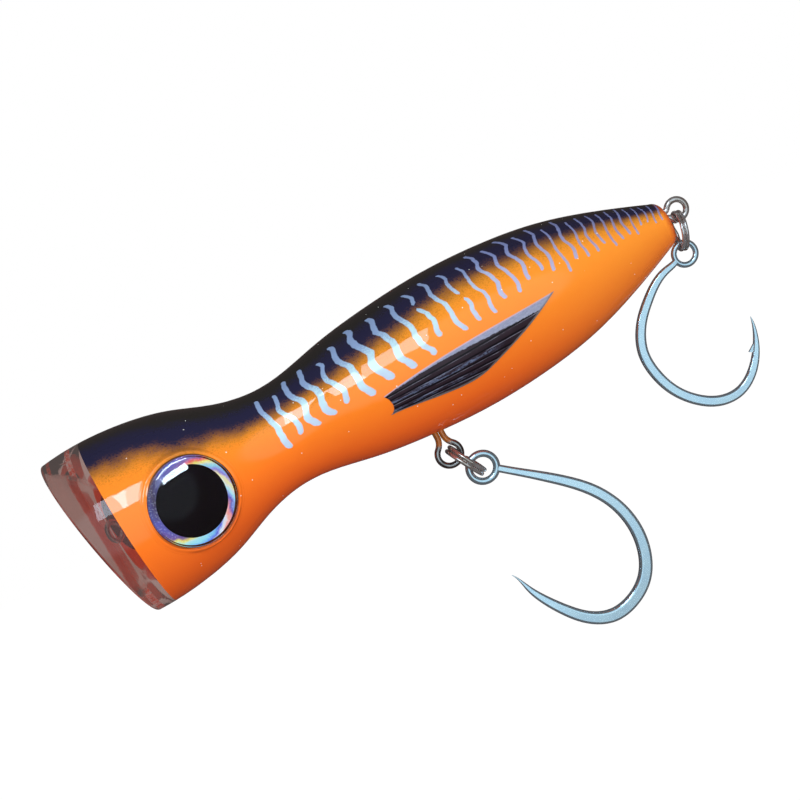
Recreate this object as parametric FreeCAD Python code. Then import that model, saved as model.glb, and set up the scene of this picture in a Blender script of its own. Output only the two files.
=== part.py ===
"""Topwater popper: a hollow fishing lure with a cupped clear nose, a wire through its whole length,
inner weights and a rattle, and two single hooks on split rings.

Millimetres. The origin is the centre of the line-tie loop's hole. The nose points to -X, the back is up
(+Z) and the left flank faces -Y."""
import FreeCAD, Part
import math
import os

from FreeCAD import Vector

# Body: distance behind the line tie and outer radius, from the lip to the tail
BODY_STATIONS = [(-16, 22.2), (-5, 23.2), (8, 22.3), (20, 19.5), (30, 15.6), (43, 13.3), (60, 16.1),
                 (76, 18.3), (91, 19.2), (108, 18.5), (124, 16.1), (140, 11.2), (152.4, 6.3)]
TAIL_ROUND = (154.4, 5.0)
TAIL_FLAT = (155.0, 3.0)
WALL = 1.6

# Clear cup at the nose
LIP_X = -10.4
LIP_SLANT = 10.5
LIP_ROUND = 0.7
CUP_MOUTH_R = 20.8
CUP_DEPTH = 16.0
CUP_BACK_WALL = 2.4
SEAM_X = -2.2
SEAM_SLANT = 3.0
SPIGOT_LENGTH = 4.0
SPIGOT_GAP = 0.05

# Wire eyelets: bent from round wire with two legs side by side
WIRE_R = 0.8
LEG_OFFSET = 0.83
LEG_LENGTH = 12.0
EYELET_R = 2.6
NECK_R = 1.6
TAIL_LOOP_X = 158.4
HANGER_X = 77.2
HANGER_Z = -25.2
HANGER_LOOP_R = 3.1
HANGER_NECK_R = 4.0
HANGER_TOP_R = 1.75

# Inner ribs, the pins on them that line up the two halves, and what they hold
RIB_X = [42.0, 64.0, 92.0, 118.0, 134.0]
RIB_THICKNESS = 1.6
RIB_WINDOW = 0.45
RIB_WINDOW_FLOOR = 2.4
TAIL_BLOCK_X = 147.0
PIN_PLACES = [(42.0, -8.5), (64.0, -10.5), (134.0, -8.0)]
PIN_R = 0.9
PIN_LENGTH = 2.4
PIN_ROOT = 1.0
PIN_GAP = 0.05
BELLY_WEIGHT_X = (65.5, 90.2)
BELLY_WEIGHT_TOP = -9.5
TAIL_WEIGHT_X = (120.0, 132.8)
TAIL_WEIGHT_R = 8.0
TUBE_X = (91.0, 119.0)
TUBE_Z = -7.6
TUBE_R = 4.6
TUBE_WALL = 0.8
PLUG_LENGTH = 3.0
BALL_R = 3.3
BALL_COUNT = 3
BALL_START_GAP = 0.3

# Eyes: foil and black disc under a clear dome, each in a round seat in the cheek
EYE_X = 15.7
EYE_TILT = 13.0
EYE_R = 11.2
EYE_SINK = 3.0
EYE_SEAT_GAP = 0.15
EYE_SEAT_RIM = 0.9
EYE_SEAT_BACK = 1.8
EYE_SEAT_LEDGE = 0.6
FOIL_R = 10.5
FOIL_THICKNESS = 0.15
PUPIL_R = 8.6
PUPIL_THICKNESS = 0.1
DOME_EDGE = 1.7
DOME_RISE = 2.6

# Pectoral fin foil: side view outline, and how thick it lies on the flank
FIN_TOP = [(68.2, -0.8), (80.0, 0.7), (94.0, 1.5), (106.0, 1.6), (117.7, 1.6)]
FIN_BELLY = [(117.7, 1.6), (108.1, -2.8), (97.1, -6.7), (91.8, -8.1), (87.1, -8.2), (80.0, -7.4), (67.7, -5.9)]
FIN_ROOT = [(67.7, -5.9), (69.2, -4.6), (69.2, -2.6), (68.2, -0.8)]
FIN_THICKNESS = 0.15

# Split rings: two coils of wire; where each one's top lies in its loop, and how it leans from straight down
BELLY_RING = {"coil_r": 5.3, "wire_r": 0.57, "top": (77.5, -24.2), "lean": 29.0}
TAIL_RING = {"coil_r": 4.85, "wire_r": 0.48, "top": (158.1, 1.0), "lean": -17.0}
RING_PITCH = 2.1
RING_STEP_ANGLE = 22.0
RING_POINTS = 96

# Hooks: eye centre, shank's angle below the nose-to-tail line, which side the gap is on, whether a barb shows,
# and stations from the eye to the point: along the shank, across it, half height in the plane of the bend and
# half thickness
BELLY_HOOK = {
    "eye": (83.1, -32.6), "eye_r": 3.65, "eye_wire_r": 0.95, "shank": 37.0, "side": 1, "barbed": False,
    "stations": [(3.9, -0.3, 0.95, 0.94), (5.7, -0.2, 0.98, 0.98), (10.2, 0.0, 1.05, 1.05),
                 (16.4, 0.3, 1.25, 1.15), (22.5, 0.8, 1.40, 1.20), (29.9, 2.2, 1.55, 1.25),
                 (36.5, 5.1, 1.63, 1.25), (42.1, 9.8, 1.68, 1.25), (46.1, 16.2, 1.70, 1.25),
                 (47.4, 23.4, 1.73, 1.25), (45.5, 29.3, 1.74, 1.25), (40.8, 34.2, 1.74, 1.25),
                 (34.3, 35.6, 1.60, 1.20), (28.0, 34.5, 1.45, 1.15), (21.9, 32.4, 1.15, 1.00),
                 (17.0, 29.9, 0.70, 0.70), (12.1, 27.0, 0.07, 0.06)]}
TAIL_HOOK = {
    "eye": (155.2, -9.5), "eye_r": 2.92, "eye_wire_r": 0.76, "shank": 150.0, "side": -1, "barbed": True,
    "stations": [(2.8, -0.9, 0.76, 0.75), (6.3, -1.9, 0.95, 0.92), (10.7, -2.4, 1.10, 1.00),
                 (15.2, -1.8, 1.20, 1.05), (19.5, -0.7, 1.25, 1.05), (23.8, 1.4, 1.30, 1.10),
                 (27.2, 4.4, 1.35, 1.10), (30.0, 9.8, 1.40, 1.10), (31.2, 16.4, 1.40, 1.10),
                 (30.2, 23.2, 1.40, 1.10), (27.0, 29.1, 1.35, 1.10), (22.2, 32.2, 1.25, 1.05),
                 (16.9, 32.3, 1.15, 1.00), (12.0, 30.5, 0.95, 0.85), (8.0, 27.8, 0.60, 0.60),
                 (4.6, 23.9, 0.07, 0.06)]}
SECTION_ROUND = 0.6
BARB_FROM_TIP = 9.6
BARB_LENGTH = 4.2
BARB_HEIGHT = 1.9
BARB_WIDTH = 0.8

# Larger than anything here, and the distance under which two places are the same
FAR = 400.0
TOUCH = 0.01


def at(x, z, y=0.0):
    return Vector(x, y, z)


def spline(points):
    curve = Part.BSplineCurve()
    curve.interpolate(points)
    return curve


def fused(first, *others):
    return first.multiFuse(list(others)).removeSplitter()


def save(shape, name):
    shape.exportStep("parts/" + name + ".step")


def behind_plane(x, slant):
    """Everything on the tail side of a plane that crosses the axis at x, its top leaning to the nose."""
    block = Part.makeBox(FAR, FAR, FAR, Vector(0, -FAR / 2, -FAR / 2))
    block.rotate(Vector(0, 0, 0), Vector(0, 1, 0), -slant)
    block.translate(Vector(x, 0, 0))
    return block


def side(left):
    """Everything on one side of the middle plane."""
    return Part.makeBox(FAR, FAR, FAR, Vector(-FAR / 2, -FAR if left else 0, -FAR / 2))


def slab(x_low, x_high, z_low=-FAR / 2, z_high=FAR / 2):
    return Part.makeBox(x_high - x_low, FAR, z_high - z_low, Vector(x_low, -FAR / 2, z_low))


def body_solid(offset=0.0):
    """The body's outer shape, made larger by offset all round."""
    points = [at(x, r + offset) for x, r in BODY_STATIONS]
    shoulder = at(TAIL_ROUND[0] + offset, TAIL_ROUND[1] + offset)
    flat = at(TAIL_FLAT[0] + offset, TAIL_FLAT[1])
    axis_end = at(flat.x, 0)
    axis_start = at(BODY_STATIONS[0][0], 0)
    edges = [spline(points).toShape(),
             Part.Arc(points[-1], shoulder, flat).toShape(),
             Part.makeLine(flat, axis_end),
             Part.makeLine(axis_end, axis_start),
             Part.makeLine(axis_start, points[0])]
    return Part.Face(Part.Wire(edges)).revolve(at(0, 0), Vector(1, 0, 0), 360)


def eyelet_edges(centre, angle, loop_r, neck_r):
    """One bent eyelet in the XZ plane, from its lower leg round to its upper leg. The legs leave at angle,
    counted from +X towards +Z."""
    reach = loop_r + neck_r
    neck = math.sqrt(reach ** 2 - (LEG_OFFSET + neck_r) ** 2)
    touch = loop_r / reach
    turn = FreeCAD.Rotation(Vector(0, 1, 0), -angle)

    def local(along, across):
        return centre + turn.multVec(at(along, across))

    middle = math.atan2(LEG_OFFSET + neck_r, neck)
    bend = (math.pi / 2 - middle) / 2
    low = LEG_OFFSET + neck_r - neck_r * math.cos(bend)
    edges = []
    for sign in (-1, 1):
        start = local(neck, sign * LEG_OFFSET)
        mid = local(neck - neck_r * math.sin(bend), sign * low)
        end = local(neck * touch, sign * (LEG_OFFSET + neck_r) * touch)
        edges.append(Part.Arc(start, mid, end).toShape())
    loop = Part.Arc(edges[0].Vertexes[-1].Point, local(-loop_r, 0), edges[1].Vertexes[-1].Point)
    return [edges[0], loop.toShape(), edges[1]], local(neck, -LEG_OFFSET), local(neck, LEG_OFFSET)


def swept_wire(edges, start, direction, radius):
    path = Part.Wire(Part.__sortEdges__(edges))
    section = Part.Wire(Part.makeCircle(radius, start, direction))
    return path.makePipeShell([section], True, False)


def through_wire():
    tail_centre = at(TAIL_LOOP_X, 2 * LEG_OFFSET)
    nose, nose_low, nose_high = eyelet_edges(at(0, 0), 0, EYELET_R, NECK_R)
    tail, tail_high, tail_low = eyelet_edges(tail_centre, 180, EYELET_R, NECK_R)
    nose_end = nose_low + Vector(LEG_LENGTH, 0, 0)
    tail_end = tail_high - Vector(LEG_LENGTH, 0, 0)
    edges = [Part.makeLine(nose_end, nose_low), *nose, Part.makeLine(nose_high, tail_low),
             *tail, Part.makeLine(tail_high, tail_end)]
    return swept_wire(edges, nose_end, Vector(-1, 0, 0), WIRE_R)


def belly_hanger():
    """A teardrop loop under the belly whose two legs run up to a ring round the through wire."""
    centre = at(HANGER_X, HANGER_Z)
    edges, first, second = eyelet_edges(centre, 90, HANGER_LOOP_R, HANGER_NECK_R)
    top = LEG_OFFSET - HANGER_TOP_R
    first_top = at(first.x, top)
    second_top = at(second.x, top)
    legs = [Part.makeLine(first_top, first), *edges, Part.makeLine(second, second_top)]
    ring = Part.makeTorus(HANGER_TOP_R, WIRE_R, at(HANGER_X, LEG_OFFSET), Vector(1, 0, 0))
    return fused(swept_wire(legs, first_top, Vector(0, 0, -1), WIRE_R), ring)


def clear_cup(wire):
    """The clear nose: hollowed by a slanted round cup, with a spigot that fits inside the shells."""
    normal = Vector(math.cos(math.radians(LIP_SLANT)), 0, math.sin(math.radians(LIP_SLANT)))
    sphere_r = (CUP_MOUTH_R ** 2 + CUP_DEPTH ** 2) / (2 * CUP_DEPTH)
    sphere_centre = at(LIP_X, 0) - normal * (sphere_r - CUP_DEPTH)
    nose = body_solid().common(behind_plane(LIP_X, LIP_SLANT)).cut(behind_plane(SEAM_X, SEAM_SLANT))
    spigot = body_solid(-WALL - SPIGOT_GAP).common(behind_plane(SEAM_X, SEAM_SLANT))
    spigot = spigot.cut(behind_plane(SEAM_X + SPIGOT_LENGTH, SEAM_SLANT))
    bowl = Part.makeSphere(sphere_r + CUP_BACK_WALL, sphere_centre)
    bowl = bowl.common(body_solid(-WALL - SPIGOT_GAP)).common(behind_plane(SEAM_X, SEAM_SLANT))
    solid = fused(nose, spigot, bowl).cut(Part.makeSphere(sphere_r, sphere_centre))
    for left in (True, False):
        solid = solid.cut(eye_seat_block(left))
    lip = [edge for edge in solid.Edges if abs((edge.CenterOfMass - at(LIP_X, 0)).dot(normal)) < TOUCH]
    return solid.makeFillet(LIP_ROUND, lip).cut(wire)


def eye_axis(left):
    """The middle of the eye's seat floor and the direction that the eye looks in."""
    tilt = math.radians(EYE_TILT)
    sign = -1 if left else 1
    outward = Vector(math.sin(tilt), sign * math.cos(tilt), 0)
    skin = Vector(EYE_X, sign * CHEEK_R, 0)
    return skin - outward * EYE_SINK, outward


def eye_foil(left):
    floor, outward = eye_axis(left)
    return Part.makeCylinder(FOIL_R, FOIL_THICKNESS, floor, outward)


def pupil(left):
    floor, outward = eye_axis(left)
    return Part.makeCylinder(PUPIL_R, PUPIL_THICKNESS, floor + outward * FOIL_THICKNESS, outward)


def eye_dome(left):
    """A clear lens with an upright edge and a domed top, hollowed under for the black disc."""
    floor, outward = eye_axis(left)
    base = floor + outward * FOIL_THICKNESS
    along = Vector(-outward.y, outward.x, 0)
    shoulder = base + along * EYE_R + outward * DOME_EDGE
    top = base + outward * (DOME_EDGE + DOME_RISE)
    ball_r = (EYE_R ** 2 + DOME_RISE ** 2) / (2 * DOME_RISE)
    half_way = math.asin(EYE_R / ball_r) / 2
    crown = top + along * ball_r * math.sin(half_way) - outward * ball_r * (1 - math.cos(half_way))
    edges = [Part.makeLine(base, base + along * EYE_R),
             Part.makeLine(base + along * EYE_R, shoulder),
             Part.Arc(shoulder, crown, top).toShape(),
             Part.makeLine(top, base)]
    return Part.Face(Part.Wire(edges)).revolve(base, outward, 360).cut(pupil(left))


def eye_seat_block(left):
    """The thick round boss behind the cheek that the seat is sunk into, with a ledge all round its floor."""
    floor, outward = eye_axis(left)
    rim_r = EYE_R + EYE_SEAT_GAP + EYE_SEAT_RIM
    back = floor - outward * EYE_SEAT_BACK
    boss = Part.makeCylinder(rim_r, EYE_SEAT_BACK + EYE_SINK, back, outward)
    ledge = Part.makeCylinder(rim_r, EYE_SEAT_BACK + EYE_SEAT_LEDGE, back, outward)
    return fused(boss.common(body_solid()), ledge)


def eye_pocket(left):
    floor, outward = eye_axis(left)
    return Part.makeCylinder(EYE_R + EYE_SEAT_GAP, EYE_R, floor, outward)


def rib(x):
    """A cross wall with one window above the wire."""
    wall = body_solid(-WALL / 2).common(slab(x - RIB_THICKNESS / 2, x + RIB_THICKNESS / 2))
    radius = wall.BoundBox.ZMax
    window = Part.makeCylinder(radius * RIB_WINDOW, FAR, at(x - FAR / 2, radius * RIB_WINDOW), Vector(1, 0, 0))
    return wall.cut(window.common(slab(x - FAR, x + FAR, RIB_WINDOW_FLOOR, FAR)))


def pins(gap):
    """Pins that stand out of the right half into the left one, made larger by gap for their sockets."""
    length = PIN_ROOT + PIN_LENGTH + gap
    starts = [at(x, z, PIN_ROOT) for x, z in PIN_PLACES]
    return [Part.makeCylinder(PIN_R + gap, length, start, Vector(0, -1, 0)) for start in starts]


def hollow_body(holders):
    """Both halves together: skin, ribs and eye seats, with room for what they hold."""
    skin = body_solid().cut(body_solid(-WALL))
    inside = [rib(x) for x in RIB_X]
    tail_block = body_solid().common(behind_plane(TAIL_BLOCK_X, 0))
    seats = [eye_seat_block(True), eye_seat_block(False)]
    whole = fused(skin.common(behind_plane(SEAM_X, SEAM_SLANT)), *inside, tail_block, *seats)
    for cutter in [eye_pocket(True), eye_pocket(False), *holders]:
        whole = whole.cut(cutter)
    return whole


def shell(whole, left):
    half = whole.common(side(left))
    if left:
        return half.cut(pins(PIN_GAP))
    return fused(half, *pins(0.0))


def belly_weight(hanger):
    """A slug that lies on the floor of the belly, and that the hanger's legs pass through."""
    slug = body_solid(-WALL).common(slab(*BELLY_WEIGHT_X, -FAR / 2, BELLY_WEIGHT_TOP))
    return slug.cut(hanger)


def tail_weight(wire):
    middle = at(TAIL_WEIGHT_X[0], LEG_OFFSET)
    length = TAIL_WEIGHT_X[1] - TAIL_WEIGHT_X[0]
    return Part.makeCylinder(TAIL_WEIGHT_R, length, middle, Vector(1, 0, 0)).cut(wire)


def tube_outside():
    return Part.makeCylinder(TUBE_R, TUBE_X[1] - TUBE_X[0], at(TUBE_X[0], TUBE_Z), Vector(1, 0, 0))


def rattle_tube():
    bore = Part.makeCylinder(TUBE_R - TUBE_WALL, FAR, at(TUBE_X[0] + TUBE_WALL, TUBE_Z), Vector(1, 0, 0))
    return tube_outside().cut(bore)


def rattle_plug():
    start = at(TUBE_X[1] - PLUG_LENGTH, TUBE_Z)
    return Part.makeCylinder(TUBE_R - TUBE_WALL, PLUG_LENGTH, start, Vector(1, 0, 0))


def rattle_balls():
    first = TUBE_X[0] + TUBE_WALL + BALL_START_GAP + BALL_R
    balls = [Part.makeSphere(BALL_R, at(first + 2 * BALL_R * i, TUBE_Z)) for i in range(BALL_COUNT)]
    return Part.makeCompound(balls)


def fin_foil(left):
    """A thin leaf-shaped foil that follows the flank."""
    outline = []
    for points in (FIN_TOP, FIN_BELLY, FIN_ROOT):
        outline.append(spline([at(x, z) for x, z in points]).toShape())
    reach = -FAR / 2 if left else FAR / 2
    prism = Part.Face(Part.Wire(outline)).extrude(Vector(0, reach, 0))
    return body_solid(FIN_THICKNESS).cut(body_solid()).common(prism)


def down(lean):
    """Straight down, leaned towards the tail by an angle."""
    return Vector(math.sin(math.radians(lean)), 0, -math.cos(math.radians(lean)))


def split_ring(ring):
    """Two coils side by side in a plane that holds the Y axis, joined by one step."""
    along = down(ring["lean"])
    across = Vector(-along.z, 0, along.x)
    centre = at(*ring["top"]) + along * ring["coil_r"]
    first = RING_STEP_ANGLE
    last = 720 - RING_STEP_ANGLE
    points = []
    for i in range(RING_POINTS + 1):
        angle = first + (last - first) * i / RING_POINTS
        step = max(-1.0, min(1.0, (angle - 360) / RING_STEP_ANGLE))
        lift = RING_PITCH * ring["wire_r"] / 2 * math.sin(step * math.pi / 2)
        turn = math.radians(angle)
        radial = along * math.sin(turn) + Vector(0, math.cos(turn), 0)
        points.append(centre + radial * ring["coil_r"] + across * lift)
    path = spline(points)
    section = Part.Wire(Part.makeCircle(ring["wire_r"], points[0], path.tangent(path.FirstParameter)[0]))
    return Part.Wire(path.toShape()).makePipeShell([section], True, True)


def forged_section(centre, upright, height, thickness):
    """A rounded rectangle across a hook's bar, from its half height along upright and its half thickness."""
    radius = SECTION_ROUND * min(height, thickness)
    sideways = Vector(0, 1, 0)
    arcs = []
    for up, out in ((1, 1), (-1, 1), (-1, -1), (1, -1)):
        middle = centre + upright * up * (height - radius) + sideways * out * (thickness - radius)
        ends = [middle + upright * up * radius, middle + sideways * out * radius]
        if up != out:
            ends.reverse()
        half_way = middle + (upright * up + sideways * out) * radius / math.sqrt(2)
        arcs.append((ends[0], half_way, ends[1]))
    edges = []
    for arc, following in zip(arcs, arcs[1:] + arcs[:1]):
        edges.append(Part.Arc(*arc).toShape())
        edges.append(Part.makeLine(arc[2], following[0]))
    return Part.Wire(edges)


def hook(place):
    """A forged single hook in the XZ plane: round eye, shank, wide flattened bend and long point."""
    centre = spline([at(along, -across) for along, across, height, thickness in place["stations"]])
    sections = []
    for along, across, height, thickness in place["stations"]:
        point = at(along, -across)
        tangent = centre.tangent(centre.parameter(point))[0]
        sections.append(forged_section(point, Vector(-tangent.z, 0, tangent.x), height, thickness))
    bar = Part.makeLoft(sections, True, False)
    eye = Part.makeTorus(place["eye_r"], place["eye_wire_r"], at(0, 0), Vector(0, 1, 0))
    solid = fused(bar, eye, barb(centre)) if place["barbed"] else fused(bar, eye)
    if place["side"] < 0:
        solid = solid.mirror(Vector(0, 0, 0), Vector(0, 0, 1))
    solid.rotate(Vector(0, 0, 0), Vector(0, 1, 0), place["shank"])
    solid.translate(at(*place["eye"]))
    return solid


def barb(centre):
    """A small wedge cut up from the inner side of the point, facing back."""
    heel = centre.value(centre.parameterAtDistance(centre.length() - BARB_FROM_TIP, centre.FirstParameter))
    tangent = centre.tangent(centre.parameter(heel))[0]
    inward = Vector(tangent.z, 0, -tangent.x)
    half = Vector(0, BARB_WIDTH / 2, 0)
    root = heel + tangent * BARB_LENGTH
    crest = heel + inward * BARB_HEIGHT
    outline = Part.makePolygon([heel - half, root - half, crest - half, heel - half])
    return Part.Face(outline).extrude(half * 2)


CHEEK_R = body_solid().common(slab(EYE_X, EYE_X + TOUCH)).BoundBox.ZMax


def main():
    os.makedirs("parts", exist_ok=True)
    wire = through_wire()
    hanger = belly_hanger()
    weight = tail_weight(wire)
    whole = hollow_body([wire, hanger, tube_outside()])
    save(wire, "through_wire")
    save(hanger, "belly_hanger")
    save(weight, "tail_weight")
    save(belly_weight(hanger), "belly_weight")
    save(rattle_tube(), "rattle_tube")
    save(rattle_plug(), "rattle_plug")
    save(rattle_balls(), "rattle_balls")
    save(clear_cup(wire), "clear_cup")
    for left, name in ((True, "left"), (False, "right")):
        save(shell(whole, left), "shell_" + name)
        save(eye_foil(left), "eye_foil_" + name)
        save(pupil(left), "pupil_" + name)
        save(eye_dome(left), "eye_dome_" + name)
        save(fin_foil(left), "fin_foil_" + name)
    save(split_ring(BELLY_RING), "belly_split_ring")
    save(split_ring(TAIL_RING), "tail_split_ring")
    save(hook(BELLY_HOOK), "belly_hook")
    save(hook(TAIL_HOOK), "tail_hook")


main()
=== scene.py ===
import bpy
import math
from mathutils import Matrix, Vector
from mathutils.bvhtree import BVHTree


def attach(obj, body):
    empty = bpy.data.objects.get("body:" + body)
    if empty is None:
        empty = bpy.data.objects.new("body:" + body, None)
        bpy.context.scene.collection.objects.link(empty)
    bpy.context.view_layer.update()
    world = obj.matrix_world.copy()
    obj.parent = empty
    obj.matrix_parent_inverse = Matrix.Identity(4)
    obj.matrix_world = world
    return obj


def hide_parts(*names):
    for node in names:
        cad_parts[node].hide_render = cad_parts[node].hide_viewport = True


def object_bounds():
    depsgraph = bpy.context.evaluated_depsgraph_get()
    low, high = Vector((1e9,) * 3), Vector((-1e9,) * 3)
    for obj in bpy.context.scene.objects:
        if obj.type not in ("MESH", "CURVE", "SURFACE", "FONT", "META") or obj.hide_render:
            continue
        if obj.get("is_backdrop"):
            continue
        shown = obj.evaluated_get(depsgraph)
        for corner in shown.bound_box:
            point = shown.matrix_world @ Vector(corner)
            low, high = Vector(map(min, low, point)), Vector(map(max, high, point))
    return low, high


MM = 0.001
UP = Vector((0, 0, 1))

# Eyes, in millimetres and as in the CAD: how they face, how big they are, and half way into the pupil
EYE_TILT = math.radians(13)
EYE_R = 11.2
EYE_SEAT_R = 11.35
FOIL_R = 10.5
FOIL_AND_HALF_PUPIL = 0.2

# Clear dome, measured from the floor of the seat
DOME_FLOOR = 0.28
DOME_EDGE = 1.85
DOME_RISE = 2.6
DOME_ROUND = 0.45
DOME_STEPS = 8
UNDERSIDE_RINGS = 7

# Bead of paint round an eye: its crest, its foot, the groove inside it, and how it rises and falls
BEAD_CREST_R = 12.0
BEAD_FOOT_R = 13.2
MOAT_R = 11.6
BEAD_GAP = 0.02
BEAD_RISE = 0.12
BEAD_INNER_FALL = 0.168
BEAD_INNER_POWER = 2.4
BEAD_INNER_DROP = 0.26
BEAD_SINK = 0.25
BEAD_PROFILE = 18
AROUND = 160

# Painted bars: where they start and end; then, along the body, how many there are so far, how far apart
# they are, how they lean, between which angles round the body they run, and half their width
BARS_START = 38.0
BARS_END = 153.5
BAR_COUNT = [(38, 0), (60, 5), (83, 9), (105, 13.6), (121, 17.6), (138, 23.4), (154, 31)]
BAR_SPACING = [(38, 4.4), (60, 5.0), (83, 5.4), (105, 4.5), (121, 3.6), (138, 2.5), (154, 1.9)]
BAR_LEAN = [(38, 0.16), (70, 0.20), (105, 0.16), (125, -0.02), (154, -0.06)]
BAR_TOP = [(38, 58), (60, 61), (90, 66), (120, 72), (154, 76)]
BAR_BOTTOM = [(38, 2), (60, 6), (80, 12), (105, 19), (154, 22)]
BAR_HALF_WIDTH = [(38, 0.84), (60, 0.86), (90, 0.66), (120, 0.46), (154, 0.22)]

# Black back: along the body, the angle round it at which the black ends
BACK_EDGE = [(-4, 52), (8, 49), (25, 39), (45, 37), (60, 38), (80, 43), (105, 50), (130, 49), (155, 45)]

# Colours of the body
ORANGE_TOP = (0.93, 0.285, 0.026)
ORANGE_MID = (0.92, 0.215, 0.016)
ORANGE_LOW = (0.98, 0.150, 0.016)
ORANGE_BELLY = (0.92, 0.095, 0.014)
ORANGE_TAIL = (0.95, 0.37, 0.045)
ORANGE_ROUND = [(-75, ORANGE_BELLY), (-40, ORANGE_LOW), (-5, ORANGE_MID), (30, ORANGE_TOP)]
TAIL_RED = (0.80, 0.13, 0.02)
BACK_BLACK = (0.016, 0.015, 0.040)
BACK_RIDGE = (0.019, 0.017, 0.015)
GRAIN_DARK = (0.11, 0.040, 0.008)
GRAIN_GOLD = (0.66, 0.26, 0.018)
BAR_PALE = (0.50, 0.74, 0.80)
BAR_MIDDLE = (0.42, 0.46, 0.68)
BAR_TAIL = (0.30, 0.25, 0.38)
BAR_COLOURS = [(50, BAR_PALE), (88, BAR_PALE), (108, BAR_MIDDLE), (138, BAR_TAIL)]
BAR_ON_BLACK = (0.16, 0.20, 0.42)
GLITTER = (1.0, 0.97, 0.85)
BARE_PLASTIC = (0.62, 0.045, 0.030)
BARE_PLASTIC_WARM = (0.80, 0.12, 0.03)
# Painted shade for the eye seats and the groove round them
SEAT_SHADE = (0.045, 0.016, 0.008)
# Painted light: how brightly the bare inside faces glow, though they are no lamp
BARE_PAINTED_GLOW = 0.25

# Eye foil: its colours by the angle round the eye, counted from the tail side over the top
FOIL_COLOURS = [
    (-180, (0.10, 0.10, 0.40)), (-160, (0.16, 0.09, 0.34)), (-150, (0.85, 0.70, 0.12)),
    (-136, (0.40, 0.85, 0.80)), (-112, (0.20, 0.55, 0.90)), (-98, (0.08, 0.10, 0.55)),
    (-84, (0.75, 0.88, 0.98)), (-68, (0.95, 0.38, 0.28)), (-52, (0.12, 0.10, 0.50)),
    (-34, (0.45, 0.82, 0.98)), (-18, (0.95, 0.88, 0.40)), (-4, (0.26, 0.20, 0.62)),
    (14, (0.30, 0.72, 0.95)), (28, (0.92, 0.85, 0.20)), (40, (0.90, 0.14, 0.10)),
    (54, (0.22, 0.14, 0.42)), (85, (0.06, 0.07, 0.34)), (125, (0.06, 0.05, 0.09)),
    (180, (0.10, 0.10, 0.40))]
# Painted highlight: the pale glare flecked over the foil
FOIL_GLARE = (0.75, 0.85, 0.95)

# Fin foil: its upper and lower edge, the lower edge of its pale band, and where its rays fan out from
FIN_TOP = [(68.2, -0.8), (80, 0.7), (94, 1.5), (106, 1.6), (117.7, 1.6)]
FIN_LOW = [(67.7, -5.9), (80, -7.4), (87.1, -8.2), (91.8, -8.1), (97.1, -6.7), (108.1, -2.8), (117.7, 1.6)]
FIN_BAND = [(68, -0.9), (76, -0.2), (85, 0.3), (94, 0.1), (104, -0.3), (118, -0.9)]
FAN_X = 10.0
FAN_Z = -2.5
FIN_RAYS = (1.15, 0.0, -1.2, -2.2, -3.1)
WEB_DARK = (0.012, 0.007, 0.012)
WEB_LIGHT = (0.040, 0.022, 0.030)
WEB_STREAK = (0.17, 0.22, 0.36)
RAY_BLACK = (0.003, 0.002, 0.004)
# Painted highlight beside each fin ray
RAY_PAINTED_HIGHLIGHT = (0.32, 0.32, 0.40)
BAND_DARK = (0.14, 0.15, 0.22)
BAND_LIGHT = (0.40, 0.41, 0.55)
TOP_EDGE = (0.60, 0.38, 0.42)
HEM_DARK = (0.05, 0.04, 0.04)
HEM_LIGHT = (0.30, 0.27, 0.26)

# Belly hanger: where it is and how far down its legs the clear coat has run
HANGER_X = 77.2
HANGER_REACH = 12.0
COAT_END = -22.2
WIRE_DARK = (0.30, 0.27, 0.26)
WIRE_LIGHT = (0.60, 0.58, 0.57)
DRIP_DARK = (0.16, 0.035, 0.008)
DRIP_LIGHT = (0.62, 0.20, 0.03)

# Camera
AIM = Vector((72.6, 0, -6.7)) * MM
CAMERA_DISTANCE = 0.5
FRAME_WIDTH = 0.2034
CAMERA_AZIMUTH = math.radians(-4)
CAMERA_ELEVATION = math.radians(10.5)
CAMERA_ROLL = math.radians(28.4)
SENSOR = 36.0

# Surround: the bright patch that metal and clear coat mirror, how it fades to brown outside, and what shows
# through clear plastic
SKY_MIDDLE = (0.04, -0.97, 0.22)
SKY_STOPS = [(0.895, (0.070, 0.052, 0.050)), (0.940, (0.64, 0.79, 0.87))]
SEEN_THROUGH = (0.32, 0.24, 0.225)

# Lamps that leave no mark in the gloss: name, direction from the lure, power in watts
LAMPS = [
    ("overhead", (0.1, -0.45, 1.0), 8.5),
    ("front", (0.2, -1.0, -0.28), 11.5),
    ("behind", (0.1, 1.0, 0.25), 16.0)]
LAMP_DISTANCE = 1.3
LAMP_SIZE = (1.0, 0.8)

# Window lights that do leave one: direction, distance, size in metres, power; and where the near ones aim
WINDOW_BLUE = (0.66, 0.84, 1.0)
WINDOW = ((-0.11, -0.79, 0.60), 1.0, (0.23, 0.36), 1.7)
WINDOW_NOSE = ((0.127, -0.80, 0.59), 0.13, (0.034, 0.050), 0.055)
WINDOW_EYE = ((0.30, -0.80, 0.54), 0.06, (0.046, 0.010), 0.20)
CHEEK = Vector((1.5, -21, 9))
EYE_TO_CRESCENT = Vector((0, -4, 8.5))

# Floor, in metres
FLOOR_DROP = 1.0
FLOOR_SIZE = 12.0


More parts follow.
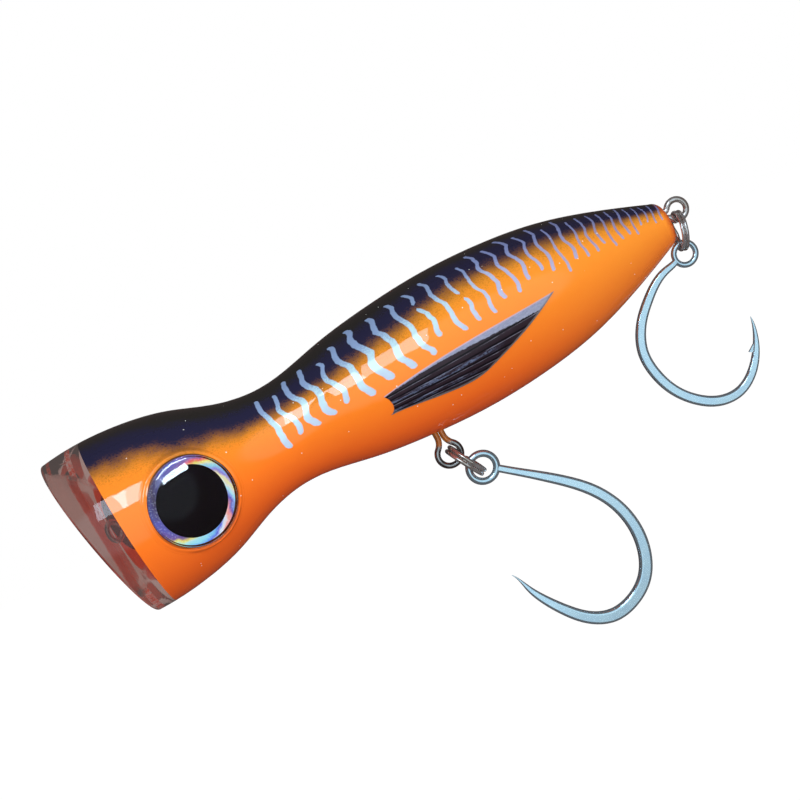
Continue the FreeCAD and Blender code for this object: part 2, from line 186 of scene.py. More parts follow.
class Graph:
    """A material being put together node by node. Positions inside it are in millimetres."""

    def __init__(self, name):
        self.material = bpy.data.materials.new(name)
        self.material.use_nodes = True
        self.tree = self.material.node_tree
        self.tree.nodes.clear()
        self.output = self.tree.nodes.new("ShaderNodeOutputMaterial")
        self.shader = self.tree.nodes.new("ShaderNodeBsdfPrincipled")
        self.tree.links.new(self.shader.outputs[0], self.output.inputs["Surface"])
        place = self.tree.nodes.new("ShaderNodeTexCoord").outputs["Object"]
        self.place = self.vector("SCALE", place, scale=1 / MM)
        self.x, self.y, self.z = self.split(self.place)

    def feed(self, socket, value):
        if isinstance(value, bpy.types.NodeSocket):
            self.tree.links.new(value, socket)
        else:
            socket.default_value = value

    def set(self, **values):
        """Sets the shader's inputs, named with underscores for spaces."""
        for name, value in values.items():
            self.feed(self.shader.inputs[name.replace("_", " ")], value)

    def math(self, operation, *values, clamp=False):
        n = self.tree.nodes.new("ShaderNodeMath")
        n.operation = operation
        n.use_clamp = clamp
        for socket, value in zip(n.inputs, values):
            self.feed(socket, value)
        return n.outputs[0]

    def add(self, first, second):
        return self.math("ADD", first, second)

    def less(self, first, second):
        return self.math("SUBTRACT", first, second)

    def times(self, first, second):
        return self.math("MULTIPLY", first, second)

    def away(self, first, second):
        """How far two values are apart."""
        return self.math("ABSOLUTE", self.less(first, second))

    def vector(self, operation, *values, scale=None):
        n = self.tree.nodes.new("ShaderNodeVectorMath")
        n.operation = operation
        for socket, value in zip(n.inputs, values):
            self.feed(socket, value)
        if scale is not None:
            n.inputs["Scale"].default_value = scale
        return n.outputs["Value" if operation in ("LENGTH", "DOT_PRODUCT") else "Vector"]

    def split(self, vector):
        n = self.tree.nodes.new("ShaderNodeSeparateXYZ")
        self.feed(n.inputs[0], vector)
        return n.outputs

    def join(self, x, y, z):
        n = self.tree.nodes.new("ShaderNodeCombineXYZ")
        for socket, value in zip(n.inputs, (x, y, z)):
            self.feed(socket, value)
        return n.outputs[0]

    def degrees(self, up, along):
        """The angle of a direction, counted from along towards up."""
        return self.times(self.math("ARCTAN2", up, along), 180 / math.pi)

    def rise(self, value, low, high):
        """0 below low, 1 above high, smooth between. low and high may be the other way round."""
        n = self.tree.nodes.new("ShaderNodeMapRange")
        n.interpolation_type = "SMOOTHSTEP"
        self.feed(n.inputs["Value"], value)
        self.feed(n.inputs["From Min"], low)
        self.feed(n.inputs["From Max"], high)
        return n.outputs["Result"]

    def spread(self, value, low, high):
        """A value from 0 to 1 spread over low to high."""
        n = self.tree.nodes.new("ShaderNodeMapRange")
        self.feed(n.inputs["Value"], value)
        self.feed(n.inputs["To Min"], low)
        self.feed(n.inputs["To Max"], high)
        return n.outputs["Result"]

    def ramp(self, value, stops):
        """Colours at places along value."""
        start, end = stops[0][0], stops[-1][0]
        n = self.tree.nodes.new("ShaderNodeValToRGB")
        fill_ramp(n.color_ramp, [((where - start) / (end - start), colour) for where, colour in stops])
        self.feed(n.inputs[0], self.math("DIVIDE", self.less(value, start), end - start))
        return n.outputs["Color"]

    def curve(self, value, points):
        """A smooth number that passes through points along value."""
        low, high = points[0][0], points[-1][0]
        floor = min(y for x, y in points)
        span = max(y for x, y in points) - floor
        n = self.tree.nodes.new("ShaderNodeFloatCurve")
        line = n.mapping.curves[0].points
        while len(line) < len(points):
            line.new(0.5, 0.5)
        for knot, (x, y) in zip(line, points):
            knot.location = ((x - low) / (high - low), (y - floor) / span)
        n.mapping.update()
        self.feed(n.inputs["Value"], self.math("DIVIDE", self.less(value, low), high - low, clamp=True))
        return self.math("MULTIPLY_ADD", n.outputs[0], span, floor)

    def mix(self, share, first, second):
        n = self.tree.nodes.new("ShaderNodeMix")
        n.data_type = "RGBA"
        self.feed(n.inputs["Factor"], share)
        for socket, colour in ((n.inputs["A"], first), (n.inputs["B"], second)):
            self.feed(socket, colour if isinstance(colour, bpy.types.NodeSocket) else (*colour, 1))
        return n.outputs["Result"]

    def noise(self, place, size, detail=2.0, roughness=0.5):
        """Soft noise around 0.5 whose features are about size millimetres."""
        n = self.tree.nodes.new("ShaderNodeTexNoise")
        self.feed(n.inputs["Vector"], place)
        n.inputs["Scale"].default_value = 1 / size
        n.inputs["Detail"].default_value = detail
        n.inputs["Roughness"].default_value = roughness
        return n.outputs[0]

    def dots(self, size):
        """Distance in millimetres to the nearest of scattered points about size apart."""
        n = self.tree.nodes.new("ShaderNodeTexVoronoi")
        self.feed(n.inputs["Vector"], self.place)
        n.inputs["Scale"].default_value = 1 / size
        return self.times(n.outputs["Distance"], size)

    def random(self, number):
        """Three random numbers from 0 to 1 that belong to a whole number."""
        n = self.tree.nodes.new("ShaderNodeTexWhiteNoise")
        n.noise_dimensions = "1D"
        self.feed(n.inputs["W"], number)
        return self.split(n.outputs["Color"])

    def facing(self):
        """The surface's own direction in the frame that the object is in."""
        n = self.tree.nodes.new("ShaderNodeNewGeometry")
        turn = self.tree.nodes.new("ShaderNodeVectorTransform")
        turn.vector_type = "NORMAL"
        turn.convert_from = "WORLD"
        turn.convert_to = "OBJECT"
        self.tree.links.new(n.outputs["Normal"], turn.inputs[0])
        return turn.outputs[0]

    def bump(self, height, depth, strength=1.0):
        """A normal for a height that goes from 0 to 1 over depth millimetres."""
        n = self.tree.nodes.new("ShaderNodeBump")
        n.inputs["Strength"].default_value = strength
        n.inputs["Distance"].default_value = depth * MM
        self.feed(n.inputs["Height"], height)
        return n.outputs[0]


def fill_ramp(ramp, stops):
    while len(ramp.elements) < len(stops):
        ramp.elements.new(0.5)
    for element, (where, colour) in zip(ramp.elements, stops):
        element.position = where
        element.color = (*colour, 1)


def bar_middle(g, below, number, first, second):
    """Where a bar's own wavy middle line runs in its share of the body, from 0 at the nose side to 1."""
    phase = g.math("MULTIPLY_ADD", below, 0.70, g.times(first, 3.0))
    swing = g.times(g.math("SINE", phase), g.spread(second, 0.07, 0.17))
    place = g.join(g.times(below, 0.3), g.times(number, 7.3), 0.0)
    wobble = g.times(g.less(g.noise(place, 1.0, 1.0), 0.5), 0.30)
    return g.add(g.add(swing, wobble), 0.5)


def bar_gap(g, angle, to_mm, second, third):
    """Millimetres of bare paint added across a short break that a few of the bars have."""
    gap = g.less(1.2, g.times(g.away(angle, g.spread(second, 30.0, 52.0)), to_mm))
    return g.times(g.math("MAXIMUM", gap, 0.0), g.math("LESS_THAN", third, 0.08))


def bar_half_width(g, height, first):
    """Half a bar's width: broad at its lower end, different from bar to bar, with a ragged edge."""
    width = g.times(g.curve(g.x, BAR_HALF_WIDTH), g.spread(height, 1.12, 0.74))
    width = g.times(width, g.spread(first, 0.88, 1.14))
    return g.add(width, g.spread(g.noise(g.place, 0.8, 2.0), -0.16, 0.16))


def painted_bars(g, angle, to_mm):
    """The hand-painted bars: how much of each point they cover, and how far up its bar a point is."""
    below = g.times(g.less(60.0, angle), to_mm)
    x = g.less(g.x, g.times(below, g.curve(g.x, BAR_LEAN)))
    count = g.curve(x, BAR_COUNT)
    number = g.math("FLOOR", count)
    first, second, third = g.random(number)
    middle = bar_middle(g, below, number, first, second)
    across = g.times(g.away(g.math("FRACT", count), middle), g.curve(x, BAR_SPACING))

    top = g.add(g.curve(g.x, BAR_TOP), g.spread(first, -6.0, 7.0))
    bottom = g.add(g.curve(g.x, BAR_BOTTOM), g.spread(second, -7.0, 7.0))
    beyond = g.math("MAXIMUM", g.less(angle, top), g.less(bottom, angle))
    beyond = g.times(g.math("MAXIMUM", beyond, 0.0), to_mm)
    distance = g.vector("LENGTH", g.join(across, beyond, 0.0))
    distance = g.add(distance, bar_gap(g, angle, to_mm, second, third))

    height = g.math("DIVIDE", g.less(angle, bottom), g.less(top, bottom), clamp=True)
    cover = g.rise(g.less(bar_half_width(g, height, first), distance), -0.10, 0.14)
    inside = g.times(g.math("GREATER_THAN", x, BARS_START), g.math("LESS_THAN", g.x, BARS_END))
    return g.times(cover, inside), height


def bar_colour(g, black, height):
    """Pale blue in front, lavender in the middle and grey at the tail; deeper blue on the black back."""
    colour = g.ramp(g.x, BAR_COLOURS)
    colour = g.mix(g.times(black, 0.75), colour, BAR_ON_BLACK)
    colour = g.mix(g.times(g.rise(height, 0.22, 0.0), 0.5), colour, BAR_MIDDLE)
    return g.mix(g.times(g.noise(g.place, 1.2, 2.0), 0.22), colour, BAR_ON_BLACK)


def round_the_eyes(g, middle):
    """Distance from the nearer eye's axis and height over its seat's floor, for both sides at once."""
    from_x = g.less(g.x, middle.x)
    from_y = g.less(g.math("ABSOLUTE", g.y), abs(middle.y))
    across = g.less(g.times(from_x, math.cos(EYE_TILT)), g.times(from_y, math.sin(EYE_TILT)))
    height = g.add(g.times(from_x, math.sin(EYE_TILT)), g.times(from_y, math.cos(EYE_TILT)))
    return g.vector("LENGTH", g.join(across, g.z, 0.0)), height


def orange_flanks(g, angle):
    """Orange that is redder at the belly and the head, and yellower at the tail."""
    orange = g.ramp(angle, ORANGE_ROUND)
    orange = g.mix(g.times(g.rise(g.x, 85.0, 15.0), 0.40), orange, ORANGE_LOW)
    orange = g.mix(g.times(g.rise(g.x, 85.0, 145.0), 0.35), orange, ORANGE_TAIL)
    return g.mix(g.times(g.noise(g.place, 3.0, 2.0), 0.12), orange, ORANGE_BELLY)


def black_back(g, angle, cloud, grain, flanks):
    """The back sprayed over the flanks: gold with dark grains first, then solid, browner along the ridge.
    Gives the colour, how black it is and how far down the spray reaches."""
    above = g.less(g.add(angle, g.spread(cloud, -5.0, 5.0)), g.curve(g.x, BACK_EDGE))
    grains = g.add(above, g.spread(grain, -17.0, 17.0))
    black = g.rise(grains, -13.0, 7.0)
    dusk = g.rise(above, -30.0, 2.0)
    gold = g.mix(g.times(dusk, 0.75), flanks, GRAIN_GOLD)
    specks = g.times(g.rise(grain, 0.56, 0.36), g.math("POWER", dusk, 1.5))
    base = g.mix(g.times(specks, 0.85), gold, GRAIN_DARK)
    back = g.mix(g.rise(grains, 14.0, 30.0), BACK_BLACK, BACK_RIDGE)
    return g.mix(black, base, back), black, dusk


def shade_round_the_eyes(g, base, from_eye, over_floor):
    """Painted shade: dark in the seat round the eye and on the lower side of the groove inside the bead."""
    seat = g.times(g.rise(from_eye, EYE_SEAT_R + 0.14, EYE_SEAT_R), g.rise(over_floor, 3.6, 3.0))
    base = g.mix(g.times(seat, 0.9), base, SEAT_SHADE)
    moat_shade = g.times(g.rise(g.away(from_eye, MOAT_R), 0.42, 0.12), g.rise(g.z, 3.0, -5.0))
    return g.mix(g.times(moat_shade, 0.55), base, SEAT_SHADE)


def body_paint(middle):
    """Orange flanks under a black back with grain between, pale bars, glitter and a thick clear coat.
    Faces that look inward, which no paint reaches, are bare dark red plastic with a faint painted glow."""
    g = Graph("painted_body")
    flat = g.join(0.0, g.y, g.z)
    angle = g.degrees(g.z, g.math("ABSOLUTE", g.y))
    to_mm = g.times(g.vector("LENGTH", flat), math.pi / 180)
    grain = g.noise(g.vector("MULTIPLY", g.place, (0.7, 1.0, 1.0)), 0.36, 3.0, 0.8)
    cloud = g.noise(g.place, 5.0, 2.0)

    base, black, dusk = black_back(g, angle, cloud, grain, orange_flanks(g, angle))
    base = g.mix(g.rise(g.x, 152.6, 154.8), base, TAIL_RED)
    cover, height = painted_bars(g, angle, to_mm)
    base = g.mix(g.times(cover, 0.94), base, bar_colour(g, black, height))
    base = g.mix(g.rise(g.dots(3.1), 0.16, 0.10), base, GLITTER)
    from_eye, over_floor = round_the_eyes(g, middle)
    # Painted shade in the eye seats and low in the groove inside each bead
    base = shade_round_the_eyes(g, base, from_eye, over_floor)

    outward = g.vector("DOT_PRODUCT", g.facing(), g.vector("NORMALIZE", flat))
    bare = g.times(g.rise(outward, 0.35, 0.15), g.math("GREATER_THAN", from_eye, EYE_SEAT_R + 0.2))
    base = g.mix(bare, base, g.mix(cloud, BARE_PLASTIC, BARE_PLASTIC_WARM))

    rough = g.add(g.spread(g.noise(g.place, 1.5, 2.0), 0.40, 0.52), g.times(black, -0.08))
    ripple = g.rise(g.away(from_eye, BEAD_FOOT_R - 0.5), 0.35, 0.05)
    relief = g.add(g.times(cover, 0.5), g.times(g.times(dusk, grain), 0.6))
    g.set(Base_Color=base, Roughness=rough, Normal=g.bump(relief, 0.05, 0.5))
    g.set(Coat_Weight=1.0, Coat_Roughness=0.01, Coat_IOR=1.5, Coat_Normal=g.bump(ripple, -0.05, 0.6))
    # Painted light: the bare inside faces glow a little
    g.set(Specular_IOR_Level=0.0, Emission_Color=base, Emission_Strength=g.times(bare, BARE_PAINTED_GLOW))
    return g.material


def clear_plastic(name, tint, haze, gloss=1.0, painted_glow=0.0):
    """Clear moulded plastic with flow lines and small scuffs. A low gloss dims its reflections, and the
    last argument sets a faint even glow, painted light that the plastic gives off though it is no lamp."""
    g = Graph(name)
    cloud = g.noise(g.place, 7.0, 3.0)
    scuff = g.noise(g.vector("MULTIPLY", g.place, (0.3, 1.0, 1.0)), 0.5, 3.0)
    g.set(Base_Color=g.mix(g.times(cloud, 0.5), tint, tuple(c * 0.88 for c in tint)))
    g.set(Roughness=g.spread(scuff, 0.0, haze), IOR=1.49, Transmission_Weight=1.0)
    # Painted light: an even glow as strong as the last argument
    g.set(Specular_Tint=(gloss, gloss, gloss, 1), Emission_Color=(*tint, 1), Emission_Strength=painted_glow)
    g.set(Normal=g.bump(cloud, 0.02, 0.2))
    return g.material


def metal(name, light, dark, rough, grain_size, grain_depth, wear=0.35, mirror=1.0):
    """Worn metal: two tones in clouds, small dark spots as strong as wear, fine grain, uneven polish.
    Below 1, mirror makes it satin."""
    g = Graph(name)
    cloud = g.noise(g.place, 3.2, 3.0, 0.6)
    grain = g.noise(g.place, grain_size, 3.0, 0.6)
    spots = g.rise(g.noise(g.place, 0.9, 4.0, 0.7), 0.60, 0.70)
    tone = g.mix(g.rise(cloud, 0.35, 0.65), dark, light)
    tone = g.mix(g.times(spots, wear), tone, tuple(c * 0.45 for c in dark))
    g.set(Base_Color=tone, Metallic=mirror, Roughness=g.spread(cloud, *rough))
    g.set(Normal=g.bump(grain, grain_depth, 0.6))
    return g.material


def coated_wire():
    """Ring steel whose legs carry an orange-brown drip of clear coat where they leave the belly."""
    g = Graph("coated_wire")
    cloud = g.noise(g.place, 2.2, 3.0, 0.6)
    low = g.add(g.z, g.spread(cloud, -1.5, 1.5))
    coat = g.times(g.rise(low, COAT_END - 0.5, COAT_END + 0.5),
                   g.math("LESS_THAN", g.away(g.x, HANGER_X), HANGER_REACH))
    tone = g.mix(g.rise(cloud, 0.35, 0.65), WIRE_DARK, WIRE_LIGHT)
    g.set(Base_Color=g.mix(coat, tone, g.mix(cloud, DRIP_DARK, DRIP_LIGHT)))
    g.set(Metallic=g.spread(coat, 1.0, 0.2), Roughness=g.spread(cloud, 0.12, 0.26))
    g.set(Normal=g.bump(cloud, 0.12, 0.4), Coat_Weight=coat, Coat_Roughness=0.03)
    return g.material


def plain_plastic(name, light, dark, rough):
    """Moulded plastic with clouded tone and a fine bump."""
    g = Graph(name)
    cloud = g.noise(g.place, 2.5, 3.0)
    grain = g.noise(g.place, 0.3, 2.0)
    g.set(Base_Color=g.mix(cloud, dark, light), Roughness=g.spread(cloud, rough, rough + 0.15))
    g.set(Normal=g.bump(grain, 0.02, 0.5))
    return g.material


def eye_foil(name, eye):
    """Holographic foil: bands of colour that change round the eye and across the ring, with pale flecks of
    painted glare and a painted glow in its own colours.
    """
    floor, outward, along = eye
    g = Graph(name)
    from_middle = g.vector("SUBTRACT", g.place, floor)
    across = g.vector("DOT_PRODUCT", from_middle, along)
    r = g.vector("LENGTH", g.join(across, g.z, 0.0))
    turn = g.degrees(g.z, across)
    wave = g.spread(g.noise(g.place, 2.2, 2.0), -14.0, 14.0)
    hue = g.add(g.add(turn, wave), g.times(g.less(r, (EYE_R + FOIL_R) / 2), 13.0))
    colours = g.ramp(hue, FOIL_COLOURS)
    fine = g.noise(g.join(g.times(turn, 0.5), g.times(r, 2.0), 0.0), 1.0, 2.0)
    # Painted highlight: pale flecks of glare
    colours = g.mix(g.times(g.rise(fine, 0.5, 0.75), 0.35), colours, FOIL_GLARE)
    g.set(Base_Color=colours, Metallic=0.55, Roughness=g.spread(fine, 0.30, 0.48))
    # Painted light: the foil glows in its own colours, though it is no lamp
    g.set(Normal=g.bump(fine, 0.03, 0.4), Emission_Color=colours, Emission_Strength=0.6)
    return g.material


def pupil():
    """Black printed disc with a faint violet bloom."""
    g = Graph("pupil")
    cloud = g.noise(g.place, 4.0, 2.0)
    grain = g.noise(g.place, 0.2, 2.0)
    g.set(Base_Color=g.mix(g.times(cloud, 0.6), (0.002, 0.002, 0.003), (0.010, 0.006, 0.014)))
    g.set(Roughness=g.spread(cloud, 0.35, 0.5), Normal=g.bump(grain, 0.004, 0.2), Specular_IOR_Level=0.05)
    return g.material


def fin_webs(g, fan, streak, speck):
    """Dark webs with two fans of pale streaks that fade towards the tip."""
    tone = g.mix(g.noise(g.place, 6.0, 2.0), WEB_DARK, WEB_LIGHT)
    upper = g.rise(g.away(fan, -0.55), 0.75, 0.25)
    lower = g.times(g.rise(g.away(fan, -2.75), 0.7, 0.3), g.rise(g.x, 94.0, 84.0))
    pale = g.times(g.times(g.rise(streak, 0.42, 0.62), g.rise(speck, 0.34, 0.60)), g.rise(g.x, 102.0, 92.0))
    return g.mix(g.times(g.times(pale, g.add(upper, lower)), 0.85), tone, WEB_STREAK)


def fin_rays(g, tone, fan, to_mm, streak):
    """Black rays over the webs, each with a thin broken painted highlight beside it."""
    for place in FIN_RAYS:
        line = g.rise(g.times(g.away(fan, place), to_mm), 0.26, 0.12)
        tone = g.mix(line, tone, RAY_BLACK)
        # Painted highlight: a thin broken pale line beside the ray
        beside = g.rise(g.times(g.away(fan, place - 0.25), to_mm), 0.12, 0.03)
        painted_highlight = g.times(beside, g.rise(streak, 0.40, 0.6))
        tone = g.mix(g.times(painted_highlight, 0.55), tone, RAY_PAINTED_HIGHLIGHT)
    return tone


def fin_borders(g, tone, speck):
    """A pale leading band with a ragged lower edge, a thin pink line on top and a grey hem below."""
    fringe = g.spread(speck, -0.35, 0.35)
    band = g.rise(g.add(g.less(g.z, g.curve(g.x, FIN_BAND)), fringe), -0.10, 0.15)
    tone = g.mix(band, tone, g.mix(speck, BAND_DARK, BAND_LIGHT))
    edge = g.rise(g.less(g.curve(g.x, FIN_TOP), g.z), 0.34, 0.16)
    tone = g.mix(edge, tone, TOP_EDGE)
    hem = g.rise(g.less(g.z, g.curve(g.x, FIN_LOW)), 0.60, 0.30)
    return g.mix(g.times(hem, 0.8), tone, g.mix(speck, HEM_DARK, HEM_LIGHT))


def fin_foil():
    """A printed fin: pale leading band, dark streaked webs, and black rays that fan out from the root."""
    g = Graph("fin_foil")
    from_root = g.less(g.x, FAN_X)
    fan = g.degrees(g.less(g.z, FAN_Z), from_root)
    to_mm = g.times(from_root, math.pi / 180)
    speck = g.noise(g.vector("MULTIPLY", g.place, (0.5, 1.0, 1.0)), 0.5, 3.0, 0.7)
    streak = g.noise(g.join(g.times(g.x, 0.13), g.times(fan, 2.4), 0.0), 1.0, 4.0, 0.7)
    tone = fin_rays(g, fin_webs(g, fan, streak, speck), fan, to_mm, streak)
    g.set(Base_Color=fin_borders(g, tone, speck), Metallic=0.2, Roughness=g.spread(speck, 0.30, 0.44))
    g.set(Normal=g.bump(streak, 0.04, 0.4), Coat_Weight=0.4, Coat_Roughness=0.03, Specular_IOR_Level=0.1)
    return g.material


def dress(nodes, material):
    """Gives every named CAD node one material."""
    for name in nodes:
        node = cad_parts[name]
        node.data.materials.clear()
        node.data.materials.append(material)


def skin_finder(name):
    """A function that gives where a line first meets a CAD node, in millimetres."""
    tree = BVHTree.FromObject(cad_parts[name], bpy.context.evaluated_depsgraph_get())

    def find(start, direction):
        return tree.ray_cast(start * MM, direction)[0] / MM
    return find


def eye_frame(side):
    """The middle of an eye's seat floor, the way the eye looks, and the way to its tail side."""
    sign = -1 if side == "left" else 1
    outward = Vector((math.sin(EYE_TILT), sign * math.cos(EYE_TILT), 0))
    along = Vector((math.cos(EYE_TILT), -sign * math.sin(EYE_TILT), 0))
    corners = [Vector(corner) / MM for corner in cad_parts["pupil_" + side].bound_box]
    disc = sum(corners, Vector()) / len(corners)
    return disc - outward * FOIL_AND_HALF_PUPIL, outward, along


def add_piece(name, points, faces, material):
    """A smooth mesh piece on the lure's body, from points in millimetres."""
    mesh = bpy.data.meshes.new(name)
    mesh.from_pydata([p * MM for p in points], [], faces)
    mesh.validate()
    mesh.update()
    mesh.polygons.foreach_set("use_smooth", [True] * len(mesh.polygons))
    mesh.materials.append(material)
    piece = bpy.data.objects.new(name, mesh)
    bpy.context.scene.collection.objects.link(piece)
    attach(piece, "lure_body")
    return piece


def spokes(along):
    """Directions all round an eye, from its tail side over the top."""
    for i in range(AROUND):
        turn = 2 * math.pi * i / AROUND
        yield along * math.cos(turn) + UP * math.sin(turn)


def bead_heights(height):
    """Radius and height of each point of the bead's section, from the seat out and back underneath."""
    crest = height(BEAD_CREST_R) + BEAD_RISE
    foot = height(BEAD_FOOT_R)
    ring = [(EYE_SEAT_R, crest - BEAD_INNER_DROP)]
    for k in range(BEAD_PROFILE + 1):
        r = EYE_SEAT_R + BEAD_GAP + (BEAD_FOOT_R - EYE_SEAT_R) * k / BEAD_PROFILE
        if r < BEAD_CREST_R:
            inner = (BEAD_CREST_R - r) / (BEAD_CREST_R - EYE_SEAT_R)
            h = crest - BEAD_INNER_FALL * inner ** BEAD_INNER_POWER
        else:
            fall = (r - BEAD_CREST_R) / (BEAD_FOOT_R - BEAD_CREST_R)
            h = crest + (foot - crest) * (fall * fall * (3 - 2 * fall))
            h = max(h, height(r) + BEAD_GAP * (1 - fall))
        ring.append((r, h))
    ring.append((BEAD_FOOT_R, foot - BEAD_SINK))
    ring.append((BEAD_CREST_R, min(crest, foot) - BEAD_INNER_DROP - 2 * BEAD_SINK))
    return ring


def eye_bead(side, eye, material):
    """The soft bead of paint and clear coat round an eye, from the seat's wall out to the skin."""
    find = skin_finder("shell_" + side)
    floor, outward, along = eye
    points = []
    for spoke in spokes(along):

        def height(r):
            start = floor + spoke * r + outward * EYE_R * 2
            return (find(start, -outward) - floor).dot(outward)

        ring = bead_heights(height)
        points += [floor + spoke * r + outward * h for r, h in ring]
    size = len(ring)
    faces = []
    for i in range(AROUND):
        a = i * size
        b = (i + 1) % AROUND * size
        faces += [(a + j, a + (j + 1) % size, b + (j + 1) % size, b + j) for j in range(size)]
    if side == "right":
        faces = [tuple(reversed(face)) for face in faces]
    add_piece("eye_bead_" + side, points, faces, material)


def dome_section():
    """Radius and height of each point of the dome's section, from its underside out and up to the top."""
    ball_r = (EYE_R ** 2 + DOME_RISE ** 2) / (2 * DOME_RISE)
    section = [(EYE_R * (k + 1) / (UNDERSIDE_RINGS + 1), DOME_FLOOR) for k in range(UNDERSIDE_RINGS)]
    section.append((EYE_R - DOME_ROUND / 3, DOME_FLOOR))
    section.append((EYE_R, DOME_FLOOR + DOME_ROUND / 3))
    for k in range(DOME_STEPS + 1):
        turn = math.pi / 2 * k / DOME_STEPS
        r = EYE_R - DOME_ROUND * (1 - math.cos(turn))
        section.append((r, DOME_EDGE - DOME_ROUND * (1 - math.sin(turn))))
    inner = EYE_R - DOME_ROUND
    for k in range(1, 2 * DOME_STEPS):
        r = inner * (1 - k / (2 * DOME_STEPS))
        sag = ball_r - math.sqrt(ball_r ** 2 - (r * EYE_R / inner) ** 2)
        section.append((r, DOME_EDGE + DOME_RISE - sag))
    return section


def eye_dome(side, eye, material):
    """A clear lens: flat under, upright at its edge, with a rounded shoulder and a shallow dome."""
    floor, outward, along = eye
    section = dome_section()
    points = [floor + outward * DOME_FLOOR, floor + outward * (DOME_EDGE + DOME_RISE)]
    for spoke in spokes(along):
        points += [floor + spoke * r + outward * h for r, h in section]
    size = len(section)
    faces = []
    for i in range(AROUND):
        a = 2 + i * size
        b = 2 + (i + 1) % AROUND * size
        faces.append((0, b, a))
        faces.append((1, a + size - 1, b + size - 1))
        faces += [(a + k, b + k, b + k + 1, a + k + 1) for k in range(size - 1)]
    if side == "right":
        faces = [tuple(reversed(face)) for face in faces]
    dome = add_piece("eye_dome_clear_" + side, points, faces, material)
    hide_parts("eye_dome_" + side)
    return dome


def camera():
    data = bpy.data.cameras.new("camera")
    data.sensor_width = SENSOR
    data.lens = SENSOR * CAMERA_DISTANCE / FRAME_WIDTH
    data.clip_start = 0.01
    data.clip_end = 50
    a, e, r = CAMERA_AZIMUTH, CAMERA_ELEVATION, CAMERA_ROLL
    back = Vector((math.sin(a) * math.cos(e), -math.cos(a) * math.cos(e), math.sin(e)))
    level = Vector((math.cos(a), math.sin(a), 0))
    upright = back.cross(level)
    right = level * math.cos(r) - upright * math.sin(r)
    up = level * math.sin(r) + upright * math.cos(r)
    turn = Matrix((right, up, back)).transposed().to_4x4()
    thing = bpy.data.objects.new("camera", data)
    thing.matrix_world = Matrix.Translation(AIM + back * CAMERA_DISTANCE) @ turn
    bpy.context.scene.collection.objects.link(thing)
    bpy.context.scene.camera = thing


def soft_light(name, target, direction, distance, size, power, colour=(1.0, 1.0, 1.0)):
    """A soft box that looks at a target from a direction."""
    data = bpy.data.lights.new(name, "AREA")
    data.shape = "RECTANGLE"
    data.size, data.size_y = size
    data.energy = power
    data.color = colour
    thing = bpy.data.objects.new(name, data)
    away = Vector(direction).normalized()
    thing.location = target + away * distance
    thing.rotation_euler = away.to_track_quat("Z", "Y").to_euler()
    thing.visible_camera = False
    thing.visible_transmission = False
    bpy.context.scene.collection.objects.link(thing)
    return thing


def only_for(lamp, pieces, state):
    """Lets a light fall on the pieces only (INCLUDE) or on everything else (EXCLUDE)."""
    group = bpy.data.collections.new("lit_by_" + lamp.name)
    for piece in pieces:
        group.objects.link(piece)
    for member in group.collection_objects:
        member.light_linking.link_state = state
    lamp.light_linking.receiver_collection = group


def windows(eye_middle, domes):
    """The lights that leave a mark in the gloss: along the flank, on the cheek and on the dome."""
    soft_light("window", AIM, *WINDOW, WINDOW_BLUE)
    only_for(soft_light("window_nose", CHEEK * MM, *WINDOW_NOSE, WINDOW_BLUE), domes, "EXCLUDE")
    crescent = (eye_middle + EYE_TO_CRESCENT) * MM
    only_for(soft_light("window_eye", crescent, *WINDOW_EYE, WINDOW_BLUE), domes, "INCLUDE")


def lamps():
    """Big soft lights that only light things up and leave no mark."""
    for name, direction, power in LAMPS:
        lamp = soft_light(name, AIM, direction, LAMP_DISTANCE, LAMP_SIZE, power)
        lamp.visible_glossy = False


def background(tree, colour):
    """A world shader of one colour."""
    shader = tree.nodes.new("ShaderNodeBackground")
    shader.inputs["Color"].default_value = (*colour, 1)
    return shader


def either(tree, share, first, second):
    """One world shader or another, by a ray's kind."""
    mix = tree.nodes.new("ShaderNodeMixShader")
    for socket, source in zip(mix.inputs, (share, first.outputs[0], second.outputs[0])):
        tree.links.new(source, socket)
    return mix


def bright_patch(tree):
    """How the surround looks in gloss: a pale blue patch that fades to brown away from its middle."""
    place = tree.nodes.new("ShaderNodeTexCoord")
    facing = tree.nodes.new("ShaderNodeVectorMath")
    facing.operation = "DOT_PRODUCT"
    facing.inputs[1].default_value = SKY_MIDDLE
    share = tree.nodes.new("ShaderNodeMapRange")
    share.inputs["From Min"].default_value = -1.0
    ramp = tree.nodes.new("ShaderNodeValToRGB")
    ramp.color_ramp.interpolation = "EASE"
    fill_ramp(ramp.color_ramp, SKY_STOPS)
    tree.links.new(place.outputs["Generated"], facing.inputs[0])
    tree.links.new(facing.outputs["Value"], share.inputs["Value"])
    tree.links.new(share.outputs["Result"], ramp.inputs[0])
    return ramp.outputs["Color"]


def surround():
    """White to the camera, warm grey through clear plastic, and a pale blue patch in brown to gloss."""
    world = bpy.data.worlds.new("studio")
    bpy.context.scene.world = world
    world.use_nodes = True
    tree = world.node_tree
    tree.nodes.clear()
    mirrored = tree.nodes.new("ShaderNodeBackground")
    tree.links.new(bright_patch(tree), mirrored.inputs["Color"])
    paths = tree.nodes.new("ShaderNodeLightPath").outputs
    unseen = either(tree, paths["Is Transmission Ray"], mirrored, background(tree, SEEN_THROUGH))
    seen = either(tree, paths["Is Camera Ray"], unseen, background(tree, (1, 1, 1)))
    output = tree.nodes.new("ShaderNodeOutputWorld")
    tree.links.new(seen.outputs[0], output.inputs["Surface"])


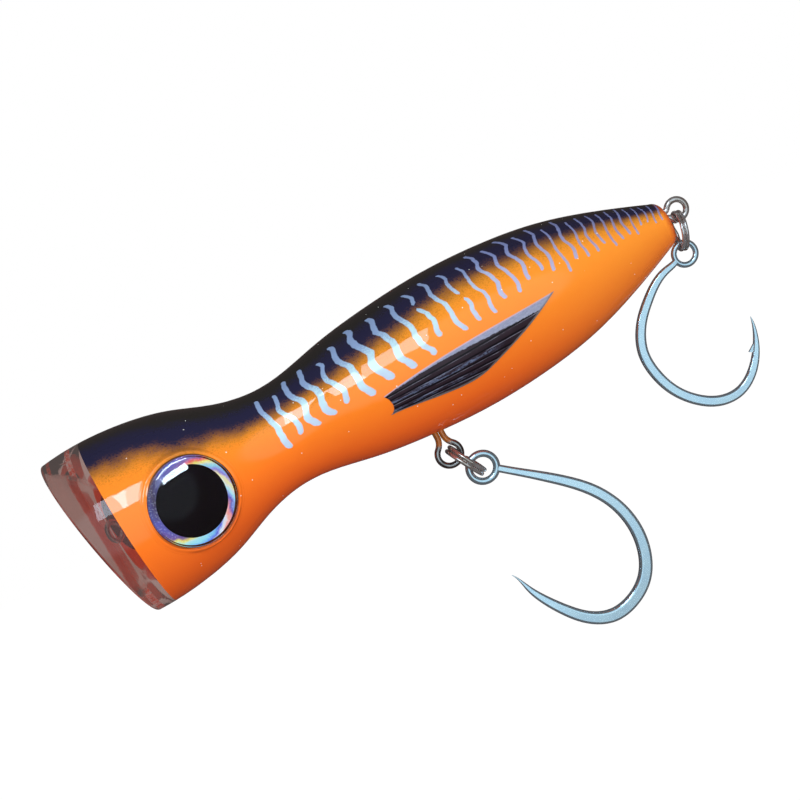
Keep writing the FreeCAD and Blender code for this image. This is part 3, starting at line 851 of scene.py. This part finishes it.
def floor():
    """A plain pale floor well below the lure."""
    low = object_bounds()[0]
    bpy.ops.mesh.primitive_plane_add(size=FLOOR_SIZE, location=(AIM.x, 0, low.z - FLOOR_DROP))
    thing = bpy.context.object
    thing.name = "floor"
    g = Graph("floor")
    tone = g.mix(g.noise(g.place, 60.0, 3.0), (0.16, 0.16, 0.16), (0.20, 0.20, 0.20))
    g.set(Base_Color=tone, Roughness=0.9, Specular_IOR_Level=0.0)
    g.set(Emission_Color=(1, 1, 1, 1), Emission_Strength=1.0)
    thing.data.materials.append(g.material)
    thing.visible_glossy = False
    thing.visible_diffuse = False
    thing.visible_transmission = False
    thing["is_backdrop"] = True


def dress_metal():
    """Dull brownish rings and wire, pale blue satin hooks, rough lead and polished balls."""
    steel = metal("ring_steel", (0.80, 0.78, 0.78), (0.50, 0.43, 0.38), (0.10, 0.22), 0.25, 0.008, 0.3, 0.85)
    dress(["through_wire", "belly_split_ring", "tail_split_ring"], steel)
    hook = metal("hook_steel", (0.70, 0.90, 1.0), (0.64, 0.84, 0.97), (0.08, 0.16), 0.18, 0.002, 0.08, 0.9)
    dress(["belly_hook", "tail_hook"], hook)
    lead = metal("lead", (0.34, 0.35, 0.37), (0.18, 0.19, 0.21), (0.45, 0.65), 0.4, 0.05)
    dress(["belly_weight", "tail_weight"], lead)
    ball = metal("ball_steel", (0.70, 0.70, 0.71), (0.55, 0.55, 0.56), (0.05, 0.14), 0.3, 0.004)
    dress(["rattle_balls"], ball)
    dress(["belly_hanger"], coated_wire())


def dress_frame(painted, eyes):
    """Gives every CAD node its material, apart from the domes, which this script replaces."""
    dress(["shell_left", "shell_right"], painted)
    # Painted light: the clear cup glows faintly
    dress(["clear_cup"], clear_plastic("clear_cup", (0.88, 0.74, 0.71), 0.06, painted_glow=0.014))
    dress(["rattle_tube"], clear_plastic("rattle_tube", (0.95, 0.96, 0.97), 0.08))
    dress(["rattle_plug"], plain_plastic("rattle_plug", (0.62, 0.60, 0.55), (0.45, 0.43, 0.38), 0.45))
    dress_metal()
    dress(["fin_foil_left", "fin_foil_right"], fin_foil())
    dress(["pupil_left", "pupil_right"], pupil())
    for side, eye in eyes.items():
        dress(["eye_foil_" + side], eye_foil("eye_foil_" + side, eye))


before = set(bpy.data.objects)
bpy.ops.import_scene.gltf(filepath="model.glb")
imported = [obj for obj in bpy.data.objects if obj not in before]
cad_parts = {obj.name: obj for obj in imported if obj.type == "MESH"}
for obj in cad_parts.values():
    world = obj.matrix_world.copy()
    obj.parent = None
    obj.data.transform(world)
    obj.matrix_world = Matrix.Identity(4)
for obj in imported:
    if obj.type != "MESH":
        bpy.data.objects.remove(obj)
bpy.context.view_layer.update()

bpy.context.scene.view_settings.view_transform = "Standard"
both_eyes = {side: eye_frame(side) for side in ("left", "right")}
left_middle = both_eyes["left"][0]
paint = body_paint(left_middle)
dome_resin = clear_plastic("eye_dome", (0.99, 0.99, 1.0), 0.02, gloss=0.3)
dress_frame(paint, both_eyes)
clear_domes = []
for which, where in both_eyes.items():
    eye_bead(which, where, paint)
    clear_domes.append(eye_dome(which, where, dome_resin))

floor()
surround()
windows(left_middle, clear_domes)
lamps()
camera()
